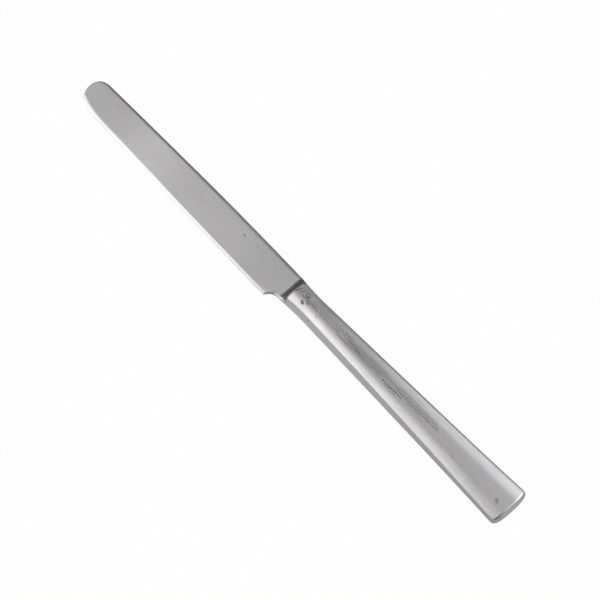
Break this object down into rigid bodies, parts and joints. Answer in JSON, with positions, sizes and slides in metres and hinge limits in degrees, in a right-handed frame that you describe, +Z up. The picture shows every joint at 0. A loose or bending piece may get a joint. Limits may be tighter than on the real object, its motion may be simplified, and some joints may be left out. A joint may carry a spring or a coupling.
{
  "type": "table knife",
  "caption": "Stainless-steel table knife with a round-nosed blade, ramped bolster and a hollow handle that flares and thins towards the butt.",
  "frame": {"origin": "centre of the knife's length and width, on the plane that the handle's underside lies on", "axes": "+X along the knife towards the blade's tip, +Y towards the cutting edge, +Z up from the surface it lies on"},
  "size_m": [0.23, 0.0174, 0.0076],
  "materials": {
    "blade_steel": "satin-ground stainless steel with fine scratches",
    "handle_steel": "polished stainless steel, worn and scratched lengthwise",
    "weld_steel": "weld bead ground flush and polished with the handle",
    "cement": "matt filled resin cement, sealed inside the handle"
  },
  "bodies": {
    "root": {"blade": "blade_steel", "handle_shell_upper": "handle_steel", "handle_shell_lower": "handle_steel", "seam_weld": "weld_steel", "handle_cement": "cement"}
  },
  "joints": []
}
